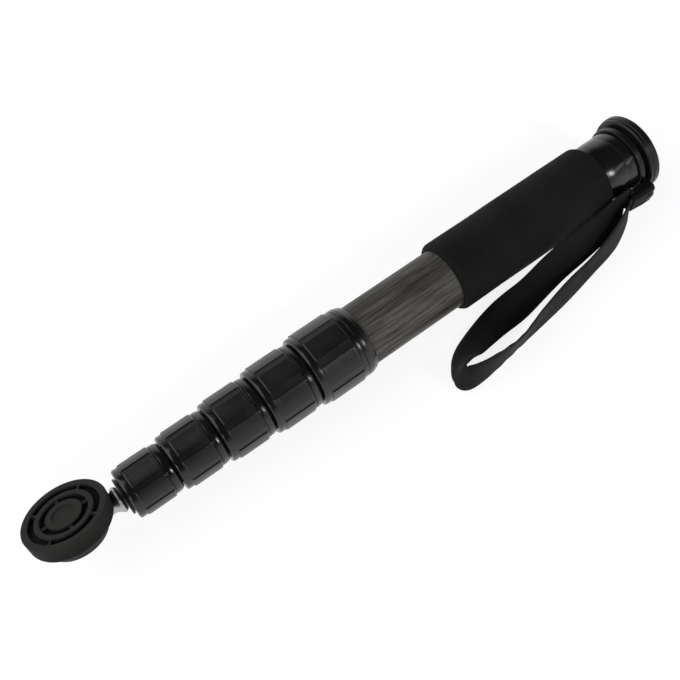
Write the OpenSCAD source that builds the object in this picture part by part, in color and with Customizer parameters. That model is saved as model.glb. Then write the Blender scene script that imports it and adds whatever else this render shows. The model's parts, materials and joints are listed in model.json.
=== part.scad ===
// Camera monopod, folded and lying on its side.
// The leg runs along X: the platform faces +X and the foot lies towards -X.
// The origin is the centre of the platform's top face. Lengths are in millimetres.

/* [Tubes] */
// Outside diameter of the top tube
tube_d = 32; // [30:0.5:36]
// How much narrower each next tube is
tube_step = 3.2; // [3.1:0.1:3.6]
// Wall of every tube
tube_wall = 1.2; // [1:0.05:1.25]
// Bare length of the top tube between the grip and the first lock
tube_show = 54; // [30:0.2:80]

/* [Head] */
// Diameter of the platform
platform_d = 41.8; // [39:0.2:50]
// Height of the platform rim
platform_h = 6; // [5.5:0.5:10]
// Length of the platform spigot inside the top tube
spigot_len = 9; // [7:0.5:14]
// Outside diameter of the pad in the platform's top
pad_d = 35; // [28:0.5:37]
// Thickness of the pad
pad_t = 1; // [0.8:0.1:1.5]
// Diameter of the camera stud, three eighths or one quarter of an inch
stud_d = 9.525; // [9.525, 6.35]
// How far the camera stud stands out of the platform
stud_out = 11; // [8:0.5:14]
// Diameter of the stud's inner end
stud_small_d = 6.35; // [6.35, 9.525]
// Wall of the neck round the top tube
neck_wall = 1; // [0.8:0.1:2]
// Length of the neck from the platform to the grip
neck_len = 24; // [20:0.5:40]
// Distance from the platform to the seam between the two neck pieces
seam_at = 11.2; // [9:0.2:15]

/* [Grip] */
// Thickness of the foam
foam_t = 3; // [2:0.25:6]
// Length of the foam grip
grip_len = 98.6; // [60:0.2:160]
// Rounding of the foam's ends
grip_round = 2.8; // [1:0.1:2.8]

/* [Strap] */
// Width of the strap ring along the neck
band_w = 3.3; // [2.5:0.1:4]
// Thickness of the strap ring
band_t = 1.5; // [1:0.1:2]
// Length of the strap keeper along the leg
keeper_len = 14.4; // [13:0.2:16]
// Height of the strap keeper
keeper_h = 14; // [13:0.5:18]
// Thickness of the strap keeper
keeper_t = 6.8; // [6:0.2:8]
// Thickness of the webbing
strap_t = 1.5; // [1:0.1:1.7]
// Width of the webbing
strap_w = 17; // [14:0.5:17]
// Width of the webbing where it is gathered in the keeper
strap_end_w = 11; // [8:0.5:11]

/* [Locks] */
// Wall of the threaded ferrules
ferrule_wall = 1; // [0.8:0.1:1.3]
// Wall of the first twist ring outside its thread
ring_wall = 0.85; // [0.8:0.05:1.5]
// How much thicker the wall of each next twist ring is
ring_wall_gain = 0.2; // [0:0.05:0.3]
// Thickness of the rubber sleeves
sleeve_t = 0.8; // [0.7:0.05:1.2]
// Length of the first ferrule above its ring
first_band = 5.8; // [5:0.2:12]
// Length of the other ferrules above their rings
band = 4; // [3:0.1:6]
// Length of the first twist ring
first_ring = 25.8; // [23:0.2:32]
// Length of the second twist ring
lower_ring = 21.7; // [21:0.1:28]
// How much shorter each next twist ring is
ring_drop = 0.8; // [0:0.1:1]
// Extra length of the last twist ring
last_ring_more = 0.7; // [0:0.1:2]
// Length of the thread inside a twist ring
thread_len = 10.4; // [9:0.2:12]
// Number of panels round a ring
panels = 8; // [8:1:12]
// Depth of the strips between the panels
panel_step = 0.45; // [0.2:0.05:0.5]
// Length of the guide shims on the inner tubes
shim_len = 30; // [20:1:40]

/* [Foot] */
// Diameter of the rubber foot
foot_d = 41.6; // [40:0.2:46]
// Distance from the ball's centre to the sole
sole_h = 11; // [10.5:0.1:14]
// Height of the foot's straight rim
rim_h = 8; // [6:0.2:9]
// Distance from the ball's centre to the foot's rear
rear_h = 4.4; // [4:0.1:5]
// Diameter of the foot's rear
rear_d = 29; // [28:0.2:34]
// Diameter of the steel ball
ball_d = 13.6; // [13:0.1:14.4]
// Diameter of the steel neck beside the ball
stem_d = 9.2; // [8:0.1:9.4]
// Diameter of the steel bulb beside the tip
bulb_d = 13.2; // [12:0.1:15]
// Length of the bulb
bulb_len = 3; // [2.6:0.1:4.5]
// Room between the bulb and the folded foot
foot_room = 1; // [0.9:0.1:4]
// Width of the tip's collar along the leg
tip_lip = 1.2; // [1:0.1:3]
// Depth of the grooves in the sole
groove_h = 2.2; // [1:0.1:2.6]
// Turn of the foot about the leg, from sole up
foot_lean = 32; // [0:1:60]

/* [Hidden] */
$fn = 160;
sections = 6;
locks = sections - 1;

// Clearances between mating pieces
bond = 0.03;
run_gap = 0.1;
thread_gap = 0.1;
collet_gap = 0.15;
exit_gap = 0.4;
face_gap = 0.2;
stack_gap = 0.3;
ball_gap = 0.12;
side_gap = 1;

// Small edges, and the overrun of a cut past the face that it opens
edge = 0.3;
soft_edge = 0.5;
past = 1;

// Finishes
anodised = [0.06, 0.06, 0.065];
rubber = [0.10, 0.10, 0.10];
foam = [0.05, 0.05, 0.05];
carbon = [0.17, 0.16, 0.15];
steel = [0.78, 0.78, 0.80];
nylon = [0.20, 0.20, 0.22];
webbing = [0.04, 0.04, 0.04];

// Platform and stud: the rim has a fine step round it, and a grub screw holds the stud
rim_edge = 0.7;
rim_step = 0.4;
rim_line = 3.6;
stud_lead = 0.8;
stud_relief = 0.25;
stud_inset = 1;
pad_ring = 1.6;
screw_r = 1.5;
screw_len = 5;
screw_at = (pad_t + platform_h) / 2;
key_r = 0.9;
key_depth = 1.8;

// Places along the leg, measured from the platform's top face towards the foot
undercut = 1.6;
tube_lap = 2;
top_room = 3;
strap_ring_at = platform_h + undercut + stack_gap;
collar_step = strap_ring_at + band_w + stack_gap;
seam = platform_h + seam_at;
grip_top = platform_h + neck_len;
grip_end = grip_top + bond + grip_len;
tube_top = platform_h + spigot_len + top_room;

function tube_r(i) = (tube_d - (i - 1) * tube_step) / 2;
function tube_bore(i) = tube_r(i) - tube_wall;
function ring_bore(i) = tube_r(i) + ferrule_wall + thread_gap;
function ring_r(i) = ring_bore(i) + ring_wall + (i - 1) * ring_wall_gain;
function sleeve_r(i) = ring_r(i) + sleeve_t;
function flange_r(i) = sleeve_r(i) - flange_in;
function flange_w(i) = i == 1 ? first_flange : top_flange;
function exit_r(i) = tube_r(i + 1) + exit_gap;
function band_len(i) = i == 1 ? first_band : band;
function last_more(i) = i == locks ? last_ring_more : 0;
function ring_len(i) = i == 1 ? first_ring : lower_ring - (i - 2) * ring_drop + last_more(i);
function lock_top(i) = i == 1 ? grip_end + tube_show : lock_end(i - 1) + stack_gap;
function ring_top(i) = lock_top(i) + band_len(i);
function lock_end(i) = ring_top(i) + ring_len(i);
function cone_top(i) = ring_top(i) + thread_len + cone_lead;
function cone_end(i) = lock_end(i) - cone_tail;
function tube_start(i) = i == 1 ? platform_h + tube_lap : tube_top;
function tube_end(i) = i < sections ? ring_top(i) + thread_len : lock_end(locks) - exit_gap;

// Twist locks: flanges at both ends of a ring hold its rubber sleeve, and a cone closes the collet
first_flange = 2.4;
top_flange = 0.6;
low_flange = 3.6;
flange_in = 0.4;
end_round = 1.3;
shoulder_round = 2;
cone_lead = 0.8;
cone_tail = 1.2;
panel_rise = 0.25;
sleeve_edge = 0.6;
band_lip = 1.1;
band_waist = 1.7;
collet_head = 1.5;
slit_w = 1;
shim_split = 1.5;

// Neck, and the strap ring with its lug
neck_r = tube_r(1) + neck_wall;
collar_r = neck_r - rim_step;
strap_ring_r = collar_r + collet_gap;
lug_y = strap_ring_r + band_t + soft_edge;
lug_h = 8;
rivet_at = strap_ring_at + band_w / 2;
rivet_r = 1.5;
rivet_head_r = 2.6;
rivet_head_h = 0.8;
rivet_hold = 1;

// Keeper on the lug, with a mouth for both ends of the webbing
keeper_z = -3.5;
keeper_top = platform_h + 1;
keeper_cut = 1.6;
keeper_end = keeper_top + keeper_len;
mouth_depth = 2;
layer_gap = 0.6;
layer_y = (strap_t + layer_gap) / 2;
mouth_y = lug_y + keeper_t / 2;
mouth_t = 2 * (strap_t + layer_gap);
mouth_w = strap_end_w + 2 * soft_edge;

// Wrist strap: centre points from the bottom of the keeper's mouth, lean from flat in degrees, width
strap_from = [-(keeper_end - mouth_depth + run_gap), -mouth_y, keeper_z];
strap_route = [
    [0, layer_y, 0, -90, strap_end_w], [-1.9, layer_y, 0, -90, strap_end_w],
    [-4, layer_y, 0, -90, strap_end_w], [-8, -0.2, 1.1, -73, 14],
    [-25.5, -2.9, 1.3, -54, strap_w], [-41.5, -4.1, 0.8, -45, strap_w], [-56.5, -4.3, -3.6, -42, strap_w],
    [-75.5, -5.8, -10.3, -36, strap_w], [-94.5, -6.7, -13.3, 5, strap_w], [-110.5, -10, -11, 26, strap_w],
    [-120, -12.7, -9.5, 38, strap_w], [-127, -15.9, -7.7, 59, strap_w], [-131.5, -19.6, -6.7, 74, strap_w],
    [-130, -23.9, -7.1, 69, strap_w], [-118.5, -25.8, -6.8, 80, strap_w], [-98.5, -24.8, -7, 92, strap_w],
    [-78.5, -20.9, -7.2, 82, strap_w], [-58.5, -17.3, -7.5, 76, strap_w], [-38.5, -14.1, -6.6, 79, strap_w],
    [-20.5, -10.3, -4.3, 75, 16], [-8, -4.6, -1.6, 78, 12.8], [-4, -layer_y, 0, 90, strap_end_w],
    [-1.9, -layer_y, 0, 90, strap_end_w], [0, -layer_y, 0, 90, strap_end_w]];
strap_steps = 3;

// Tip and steel stud: a clip holds the stud's shank in the tip
tip_seat = lock_end(locks) + stack_gap;
tip_end = tip_seat + tip_lip;
tip_len = 16;
tip_rise = 1;
bulb_top = tip_end + face_gap;
bulb_end = bulb_top + bulb_len;
ball_at = bulb_end + foot_d / 2 + foot_room;
shank_r = 3.6;
shank_end = 1.5;
clip_t = 1;
clip_r = 5.2;
clip_groove = 0.5;
clip_mouth = 2.4;
clip_at = tip_end - tip_len - stack_gap - clip_t;
flare_len = 1.4;
waist_len = 3.4;

// Foot: a hard socket in the rubber, with a notch for the steel neck on the side of the leg
slot_w = stem_d + 2 * side_gap;
socket_r = 12.5;
socket_wall = 0.4;
socket_top = ball_d / 2 + socket_wall;
seat_r = 7.5;
seat_t = 1.4;
seat_low = slot_w / 2 + face_gap;
mouth_back = stem_d / 2 + 1.6;
mouth_low = 2;
rear_edge = 0.8;
rear_cut = 1.4;
rim_taper = 0.3;

// Sole: two ring grooves crossed by bridges, and a shallow dish in the middle
inner_groove = [8.9, 11.7];
outer_groove = [14.4, 17.3];
inner_bridge = 2;
outer_bridge = 1.4;
dish_r = 5.7;
dish_h = 0.7;

// Stands a piece on the leg's axis: its height runs from the platform towards the foot
module on_leg() {
    rotate([0, -90, 0]) children();
}

// Solid of revolution from [radius, place along the leg] pairs
module turned(profile) {
    on_leg() rotate_extrude() polygon(profile);
}

// Plain tube between two places along the leg
module sleeve(r_out, r_in, from, to) {
    turned([[r_in, from], [r_out, from], [r_out, to], [r_in, to]]);
}

// Points of a round from one angle to another about a centre
function arc(centre, r, from, to, steps = 6) =
    [for (k = [0:steps]) let (a = from + (to - from) * k / steps) centre + r * [cos(a), sin(a)]];

module camera_stud() {
    r = stud_d / 2;
    small_r = stud_small_d / 2;
    inner_end = platform_h + spigot_len - stud_inset;
    color(steel) turned([
        [0, -stud_out], [r - stud_lead, -stud_out], [r, -stud_out + stud_lead], [r, 0],
        [r - stud_relief, 0], [r - stud_relief, platform_h], [small_r, platform_h + edge],
        [small_r, inner_end], [0, inner_end]]);
}

// Turns a cylinder's height to run out from the leg along +Y
module sideways(x, y, z) {
    translate([x, y, z]) rotate([-90, 0, 0]) children();
}

module stud_lock_screw() {
    color(anodised) sideways(-screw_at, stud_d / 2 + bond, 0) difference() {
        cylinder(r = screw_r, h = screw_len);
        translate([0, 0, screw_len - key_depth]) cylinder(r = key_r, h = key_depth + past, $fn = 6);
    }
}

module platform() {
    r = platform_d / 2;
    bore = stud_d / 2 + bond;
    small_bore = stud_small_d / 2 + bond;
    pocket = pad_d / 2 + bond;
    spigot = tube_bore(1) - bond;
    spigot_end = platform_h + spigot_len;
    color(anodised) difference() {
        turned([
            [bore, pad_t], [pocket, pad_t], [pocket, 0], [r - rim_edge, 0], [r, rim_edge],
            [r, rim_line], [r - rim_step, rim_line + edge], [r - rim_step, platform_h - rim_edge],
            [r - rim_step - rim_edge, platform_h], [spigot, platform_h], [spigot, spigot_end],
            [small_bore, spigot_end], [small_bore, platform_h + edge + bond], [bore, platform_h + bond]]);
        sideways(-screw_at, 0, 0) cylinder(r = screw_r + bond, h = platform_d);
    }
}

module platform_pad() {
    color(rubber) sleeve(pad_d / 2, stud_d / 2 + pad_ring, 0, pad_t - bond);
}

module neck_collar() {
    inside = tube_r(1) + bond;
    top = platform_h + bond;
    color(anodised) turned([
        [inside, top], [collar_r, top], [collar_r, collar_step], [neck_r - edge, collar_step],
        [neck_r, collar_step + edge], [neck_r, seam - edge], [neck_r - edge, seam], [inside, seam]]);
}

module neck_sleeve() {
    inside = tube_r(1) + bond;
    top = seam + bond;
    color(anodised) turned([
        [inside, top], [neck_r - edge, top], [neck_r, top + edge], [neck_r, grip_top], [inside, grip_top]]);
}

module strap_ring() {
    r = strap_ring_r + band_t;
    top = strap_ring_at;
    end = top + band_w;
    color(anodised) difference() {
        union() {
            turned([
                [strap_ring_r, top], [r - edge, top], [r, top + edge],
                [r, end - edge], [r - edge, end], [strap_ring_r, end]]);
            difference() {
                translate([-end, -lug_y, keeper_z - lug_h / 2]) cube([band_w, lug_y, lug_h]);
                on_leg() cylinder(r = strap_ring_r + band_t / 2, h = end + past);
            }
        }
        rivet_hole();
    }
}

// Hole for the rivet, through the keeper and into the lug
module rivet_hole() {
    sideways(-rivet_at, -lug_y - keeper_t - past, keeper_z)
        cylinder(r = rivet_r + bond, h = past + keeper_t + rivet_hold + bond);
}

module strap_keeper() {
    color(rubber) difference() {
        translate([-keeper_end, -lug_y - keeper_t, keeper_z - keeper_h / 2]) keeper_block();
        rivet_hole();
        translate([-keeper_end - past, -mouth_y - mouth_t / 2, keeper_z - mouth_w / 2])
            cube([past + mouth_depth, mouth_t, mouth_w]);
    }
}

// Block with its long outer edges cut off
module keeper_block() {
    rotate([0, 90, 0]) mirror([1, 0, 0]) linear_extrude(keeper_len) polygon([
        [0, keeper_t], [0, keeper_cut], [keeper_cut, 0],
        [keeper_h - keeper_cut, 0], [keeper_h, keeper_cut], [keeper_h, keeper_t]]);
}

module strap_rivet() {
    color(steel) sideways(-rivet_at, -lug_y - keeper_t - rivet_head_h, keeper_z) {
        cylinder(r = rivet_r, h = rivet_head_h + keeper_t + rivet_hold);
        cylinder(r1 = rivet_head_r - soft_edge, r2 = rivet_head_r, h = rivet_head_h - bond);
    }
}

// The route's rows are joined by a smooth curve through all of them
function row(k) = strap_route[max(0, min(len(strap_route) - 1, k))];
function curve(a, b, c, d, f) =
    b + (c - a) * f / 2 + (2 * a - 5 * b + 4 * c - d) * f * f / 2 + (3 * b - a - 3 * c + d) * f * f * f / 2;
function between(k, f) = curve(row(k - 1), row(k), row(k + 1), row(k + 2), f);
strap_rows = [
    for (k = [0:len(strap_route) - 2], s = [0:strap_steps - 1]) between(k, s / strap_steps),
    row(len(strap_route) - 1)];
strap_last = len(strap_rows) - 1;

// At each row: its place, the way the strap runs there, and the way its width points
function place(k) = strap_from + [for (m = [0:2]) strap_rows[k][m]];
function unit(v) = v / norm(v);
function ahead(k) = unit(place(k + 1) - place(k - 1));
function heading(k) = k == 0 ? [-1, 0, 0] : k == strap_last ? [1, 0, 0] : ahead(k);
function across(k) = let (t = heading(k), side = unit(cross([0, 0, 1], t)), lean = strap_rows[k][3])
    cos(lean) * side + sin(lean) * cross(t, side);
function corners(k) = let (p = place(k), v = across(k) * strap_rows[k][4] / 2)
    let (n = cross(heading(k), across(k)) * strap_t / 2) [p - v - n, p + v - n, p + v + n, p - v + n];

module wrist_strap() {
    points = [for (k = [0:strap_last]) each corners(k)];
    walls = [for (k = [0:strap_last - 1], m = [0:3], half = [0:1])
        let (a = 4 * k + m, b = 4 * k + (m + 1) % 4)
            half == 0 ? [a, a + 4, b] : [b, a + 4, b + 4]];
    end = 4 * strap_last;
    ends = [[0, 1, 2], [0, 2, 3], [end, end + 2, end + 1], [end, end + 3, end + 2]];
    color(webbing) polyhedron(points, concat(walls, ends));
}

module foam_grip() {
    inside = tube_r(1) + bond;
    centre_r = tube_r(1) + foam_t - grip_round;
    top = grip_top + bond;
    color(foam) turned(concat(
        [[inside, top]],
        arc([centre_r, top + grip_round], grip_round, -90, 0),
        arc([centre_r, grip_end - grip_round], grip_round, 0, 90),
        [[inside, grip_end]]));
}

module tube(i) {
    color(carbon) sleeve(tube_r(i), tube_bore(i), tube_start(i), tube_end(i));
}

// Ferrule: a flared band on the first lock, a short round-shouldered one on the others
module ferrule(i) {
    top = lock_top(i);
    shoulder = ring_top(i);
    inside = tube_r(i) + bond;
    thread_r = tube_r(i) + ferrule_wall;
    full = flange_r(i);
    flare = shoulder - first_flange;
    waist = [[inside + band_lip, top], [inside + band_waist, (top + flare) / 2], [full, flare]];
    low = shoulder_round;
    round_top = [[full - low, top], [full - soft_edge, top + soft_edge], [full, top + low]];
    color(anodised) turned(concat(
        [[inside, top]], i == 1 ? waist : round_top, [[full, shoulder - edge], [full - edge, shoulder]],
        [[thread_r, shoulder], [thread_r, tube_end(i)], [inside, tube_end(i)]]));
}

module twist_ring(i) {
    top = ring_top(i) + face_gap;
    end = lock_end(i);
    r = flange_r(i);
    color(anodised) turned(concat(
        [[ring_bore(i), top], [r - edge, top], [r, top + edge], [r, top + flange_w(i)]],
        [[ring_r(i), top + flange_w(i)], [ring_r(i), end - low_flange], [r, end - low_flange]],
        arc([r - end_round, end - end_round], end_round, 0, 90),
        [[exit_r(i), end], [exit_r(i), cone_end(i)], [ring_bore(i), cone_top(i)]]));
}

// Outline of a sleeve: raised flat panels with lower strips between them
function panel_outline(r) = [
    for (k = [0:panels - 1], c = [[-1 / 3, r], [1 / 3, r], [1 / 3, r - panel_step], [2 / 3, r - panel_step]])
        let (a = (k + c[0]) * 360 / panels) c[1] * [cos(a), sin(a)]];

module ring_grip(i) {
    top = ring_top(i) + face_gap + flange_w(i) + bond;
    end = lock_end(i) - low_flange - bond;
    r = sleeve_r(i) + panel_rise;
    e = sleeve_edge;
    color(rubber) difference() {
        intersection() {
            on_leg() translate([0, 0, top]) linear_extrude(end - top) polygon(panel_outline(r));
            turned([
                [0, top], [r - e, top], [r + e, top + 2 * e], [r + e, end - 2 * e], [r - e, end], [0, end]]);
        }
        on_leg() cylinder(r = ring_r(i) + bond, h = end + past);
    }
}

// Collet: follows the cone inside its ring, and is slit four ways from its narrow end
module collet(i) {
    inside = tube_r(i + 1) + run_gap;
    head_r = ring_bore(i) - collet_gap;
    top = tube_end(i) + face_gap;
    end = cone_end(i) - cone_tail;
    slope = (ring_bore(i) - exit_r(i)) / (cone_end(i) - cone_top(i));
    tail_r = exit_r(i) + slope * cone_tail - collet_gap;
    color(nylon) difference() {
        turned([
            [inside, top], [head_r, top], [head_r, cone_top(i) - face_gap], [tail_r, end], [inside, end]]);
        for (a = [45, 135, 225, 315])
            on_leg() rotate(a) translate([0, -slit_w / 2, top + collet_head])
                cube([tube_d, slit_w, end - top]);
    }
}

// Two half-shells on the upper end of an inner tube
module shims(i) {
    color(nylon) difference() {
        sleeve(tube_bore(i - 1) - run_gap, tube_r(i) + bond, tube_top, tube_top + shim_len);
        on_leg() translate([-tube_d, -shim_split / 2, tube_top - past])
            cube([2 * tube_d, shim_split, shim_len + 2 * past]);
    }
}

module tip_cap() {
    bore = shank_r + run_gap;
    plug_r = tube_bore(sections) - bond;
    lip_r = exit_r(locks) - run_gap;
    collar = lip_r + tip_rise;
    top = tip_end - tip_len;
    rim = tube_end(sections) + bond;
    color(anodised) turned([
        [bore, top], [plug_r - soft_edge, top], [plug_r, top + soft_edge], [plug_r, rim], [lip_r, rim],
        [lip_r, tip_seat], [collar, tip_seat], [collar, tip_end - edge], [collar - edge, tip_end],
        [bore, tip_end]]);
}

module ball_stud() {
    round_r = bulb_len / 2;
    stem_r = stem_d / 2;
    root_r = stem_r - soft_edge;
    groove_r = shank_r - clip_groove;
    shank_top = clip_at - shank_end;
    flare = bulb_end + flare_len;
    color(steel) union() {
        turned(concat(
            [[0, shank_top], [shank_r - edge, shank_top], [shank_r, shank_top + edge], [shank_r, clip_at]],
            [[groove_r, clip_at], [groove_r, clip_at + clip_t]],
            [[shank_r, clip_at + clip_t], [shank_r, bulb_top]],
            arc([bulb_d / 2 - round_r, bulb_top + round_r], round_r, -90, 90, 10),
            [[stem_r + soft_edge, bulb_end], [stem_r + edge, flare], [stem_r, bulb_end + waist_len]],
            [[root_r, ball_at - ball_d / 2], [root_r, ball_at], [0, ball_at]]));
        translate([-ball_at, 0, 0]) sphere(d = ball_d);
    }
}

module stud_clip() {
    color(steel) difference() {
        sleeve(clip_r, shank_r - clip_groove + bond, clip_at + bond, clip_at + clip_t - bond);
        on_leg() translate([0, -clip_mouth / 2, clip_at - past])
            cube([clip_r + past, clip_mouth, clip_t + 2 * past]);
    }
}

// Puts a foot piece on the ball: its own +Z is out of the sole, +X is towards the leg
module on_foot() {
    translate([-ball_at, 0, 0]) rotate([-foot_lean, 0, 0]) children();
}

module ball_room() {
    sphere(d = ball_d + 2 * ball_gap);
}

// Room for the steel neck as the foot swings from folded to straight
module neck_room() {
    ceiling = slot_w / 2;
    rotate([90, 0, 0]) linear_extrude(slot_w, center = true) polygon([
        [-mouth_back, -foot_d], [-mouth_back, -mouth_low], [0, ceiling],
        [foot_d, ceiling], [foot_d, -foot_d]]);
}

module ball_seat() {
    low = seat_low + run_gap;
    color(nylon) on_foot() difference() {
        translate([0, 0, low]) cylinder(r = seat_r, h = socket_top + seat_t - low);
        ball_room();
    }
}

module foot_socket() {
    color(nylon) on_foot() difference() {
        translate([0, 0, -rear_h]) cylinder(r = socket_r, h = rear_h + socket_top);
        ball_room();
        neck_room();
        translate([0, 0, seat_low]) cylinder(r = seat_r + bond, h = socket_top);
    }
}

// Bars across a groove, at the given turns
module bridges(turns, width) {
    for (a = turns)
        rotate(a) translate([0, -width / 2, -past]) cube([foot_d, width, groove_h + 3 * past]);
}

// Ring groove in the sole, left full under its bridges
module sole_groove(radii) {
    difference() {
        cylinder(r = radii[1], h = groove_h + past);
        translate([0, 0, -past]) cylinder(r = radii[0], h = groove_h + 3 * past);
        children();
    }
}

module foot_pad() {
    r = foot_d / 2;
    color(rubber) on_foot() difference() {
        rotate_extrude() polygon([
            [0, sole_h], [r - soft_edge, sole_h], [r, sole_h - soft_edge], [r - rim_taper, sole_h - rim_h],
            [rear_d / 2 + rear_edge, rear_cut - rear_h], [rear_d / 2, -rear_h], [0, -rear_h]]);
        translate([0, 0, -foot_d]) cylinder(r = socket_r + bond, h = foot_d + socket_top + bond);
        cylinder(r = seat_r + bond, h = socket_top + seat_t + bond);
        neck_room();
        translate([0, 0, sole_h - groove_h]) {
            sole_groove(inner_groove) bridges([0, 90, 180, 270], inner_bridge);
            sole_groove(outer_groove) bridges([45, 135, 225, 315], outer_bridge);
        }
        translate([0, 0, sole_h - dish_h]) cylinder(r = dish_r, h = past);
    }
}

camera_stud();
stud_lock_screw();
platform();
platform_pad();
neck_collar();
neck_sleeve();
strap_ring();
strap_keeper();
strap_rivet();
wrist_strap();
foam_grip();
for (i = [1:sections]) tube(i);
for (i = [1:locks]) ferrule(i);
for (i = [1:locks]) twist_ring(i);
for (i = [1:locks]) ring_grip(i);
for (i = [1:locks]) collet(i);
for (i = [2:sections]) shims(i);
tip_cap();
ball_stud();
stud_clip();
ball_seat();
foot_socket();
foot_pad();
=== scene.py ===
# %% [markdown]
# # A folded camera monopod
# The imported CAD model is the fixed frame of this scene: it says where every piece is and how it moves.
# Each cell takes one piece or one finish of the real monopod, says how it is made, and lays a finer surface
# over the solid that stands for it.
# Sizes of pieces are in millimetres, as on a maker's drawing, and become metres when a mesh is filled.
# The camera, the floor and the lamps are placed in metres.
# The leg lies along X. The platform faces +X, and u counts millimetres from its top face towards the foot.

# %% Load the frame
import json

import bmesh
import bpy
import numpy as np
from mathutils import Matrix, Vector


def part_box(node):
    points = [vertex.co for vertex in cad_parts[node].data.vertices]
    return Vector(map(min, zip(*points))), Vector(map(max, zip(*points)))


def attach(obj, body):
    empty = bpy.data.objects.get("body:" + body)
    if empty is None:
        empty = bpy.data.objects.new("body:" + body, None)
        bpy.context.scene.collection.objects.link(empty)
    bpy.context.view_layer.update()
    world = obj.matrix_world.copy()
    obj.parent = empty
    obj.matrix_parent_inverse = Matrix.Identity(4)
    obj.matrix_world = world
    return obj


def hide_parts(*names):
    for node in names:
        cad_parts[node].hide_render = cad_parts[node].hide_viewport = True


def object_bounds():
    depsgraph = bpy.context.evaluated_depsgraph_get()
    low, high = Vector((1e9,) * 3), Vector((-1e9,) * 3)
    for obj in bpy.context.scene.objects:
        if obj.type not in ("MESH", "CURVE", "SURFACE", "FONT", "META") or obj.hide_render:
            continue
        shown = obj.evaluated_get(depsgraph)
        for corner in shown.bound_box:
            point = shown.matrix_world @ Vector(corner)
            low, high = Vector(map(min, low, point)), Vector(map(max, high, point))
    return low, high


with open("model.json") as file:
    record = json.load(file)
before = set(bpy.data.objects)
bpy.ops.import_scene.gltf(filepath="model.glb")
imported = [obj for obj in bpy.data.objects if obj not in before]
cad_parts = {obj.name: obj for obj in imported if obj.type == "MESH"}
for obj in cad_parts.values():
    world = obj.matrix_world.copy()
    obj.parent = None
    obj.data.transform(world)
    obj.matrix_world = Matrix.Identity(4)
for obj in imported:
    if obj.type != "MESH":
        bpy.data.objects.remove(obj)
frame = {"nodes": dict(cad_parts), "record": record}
cad_box = [list(corner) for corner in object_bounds()]
body_of = {n: body for body, members in frame["record"]["behaviour"]["bodies"].items() for n in members}
slot_of = {s["node"]: s["material_slot"] for s in frame["record"]["subparts"]}
MM = 0.001
scene = bpy.context.scene

# %% [markdown]
# ## Camera
# The photograph looks down on the leg from about 64 degrees, with a normal lens and no roll.
# A lens of 55.6 mm on a 36 mm sensor gives the same perspective. The camera looks from a fixed point to a
# fixed point, so no constraint is needed. The Standard view transform shows colours as they are written.

# %% Camera
eye = Vector((-0.32265, -0.17224, 0.45766))
aim = Vector((-0.18994, 0.00378, 0.0001))
lens = bpy.data.cameras.new("photo_camera")
lens.sensor_width = 36
lens.lens = 55.588
camera = bpy.data.objects.new("photo_camera", lens)
camera.location = eye
camera.rotation_euler = (aim - eye).to_track_quat("-Z", "Y").to_euler()
scene.collection.objects.link(camera)
scene.camera = camera
scene.view_settings.view_transform = "Standard"
print("camera", round((aim - eye).length, 3), "m from the leg")

# %% [markdown]
# ## From a grid of points to a mesh
# Nearly all pieces here are turned, moulded or woven. They could start as Blender's own cylinders, but a
# grid of points, rows along the piece and columns round it, keeps every size as it is written.
# One helper joins the grid's neighbours into quads, welds points that fall together at a pole, turns the
# faces outwards and marks edges sharper than an angle, so that flat faces stay crisp.

# %% Grid helpers
def grid_faces(rows, cols, close_rows=False):
    """Quads of a grid that closes on itself round its columns: each point joins the next row and column."""
    r, c = np.meshgrid(np.arange(rows if close_rows else rows - 1), np.arange(cols), indexing="ij")
    below, beside = (r + 1) % rows, (c + 1) % cols
    quads = [r * cols + c, r * cols + beside, below * cols + beside, below * cols + c]
    return np.stack(quads, -1).reshape(-1, 4)


def make_piece(name, points, close_rows=False, crease=35, marks=None):
    """Fill a mesh from a grid of points in millimetres. marks is one vector per point, kept on the mesh."""
    faces = grid_faces(*points.shape[:2], close_rows)
    mesh = bpy.data.meshes.new(name)
    mesh.from_pydata((points.reshape(-1, 3) * MM).tolist(), [], faces.tolist())
    if marks is not None:
        kept = mesh.attributes.new("marks", "FLOAT_VECTOR", "POINT")
        kept.data.foreach_set("vector", marks.reshape(-1).astype(np.float32))
    work = bmesh.new()
    work.from_mesh(mesh)
    bmesh.ops.remove_doubles(work, verts=work.verts, dist=1e-7)
    bmesh.ops.recalc_face_normals(work, faces=work.faces)
    work.to_mesh(mesh)
    work.free()
    mesh.shade_smooth()
    mesh.set_sharp_from_angle(angle=np.radians(crease))
    piece = bpy.data.objects.new(name, mesh)
    scene.collection.objects.link(piece)
    return piece


def stands_for(piece, node, finish):
    """Hang a piece on the body of the CAD node that it stands for, with a finish, and hide that node."""
    piece.data.materials.append(finish)
    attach(piece, body_of[node])
    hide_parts(node)
    print(f"{piece.name}: {len(piece.data.polygons)} faces, for {node}")
    return piece


# %% [markdown]
# ## Shader helpers
# A finish is a small network of nodes, which could also be wired by hand in the shader editor. One helper
# adds a node and fills its sockets with numbers or with the outputs of other nodes, which keeps each finish
# short enough to read at a glance.
# Effects that several finishes share could be copied into each, but as node groups they are made only once.

# %% Shader helpers
def node(tree, kind, inputs=None, **settings):
    """Add a shader node, set its properties, then fill or link its inputs by name or number."""
    made = tree.nodes.new("ShaderNode" + kind)
    for name, value in settings.items():
        setattr(made, name, value)
    for key, value in (inputs or {}).items():
        if isinstance(value, bpy.types.NodeSocket):
            tree.links.new(value, made.inputs[key])
        else:
            made.inputs[key].default_value = value
    return made


def math(tree, operation, a, b=0.0):
    """One Math node; a and b are numbers or sockets."""
    return node(tree, "Math", {0: a, 1: b}, operation=operation).outputs[0]


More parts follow.
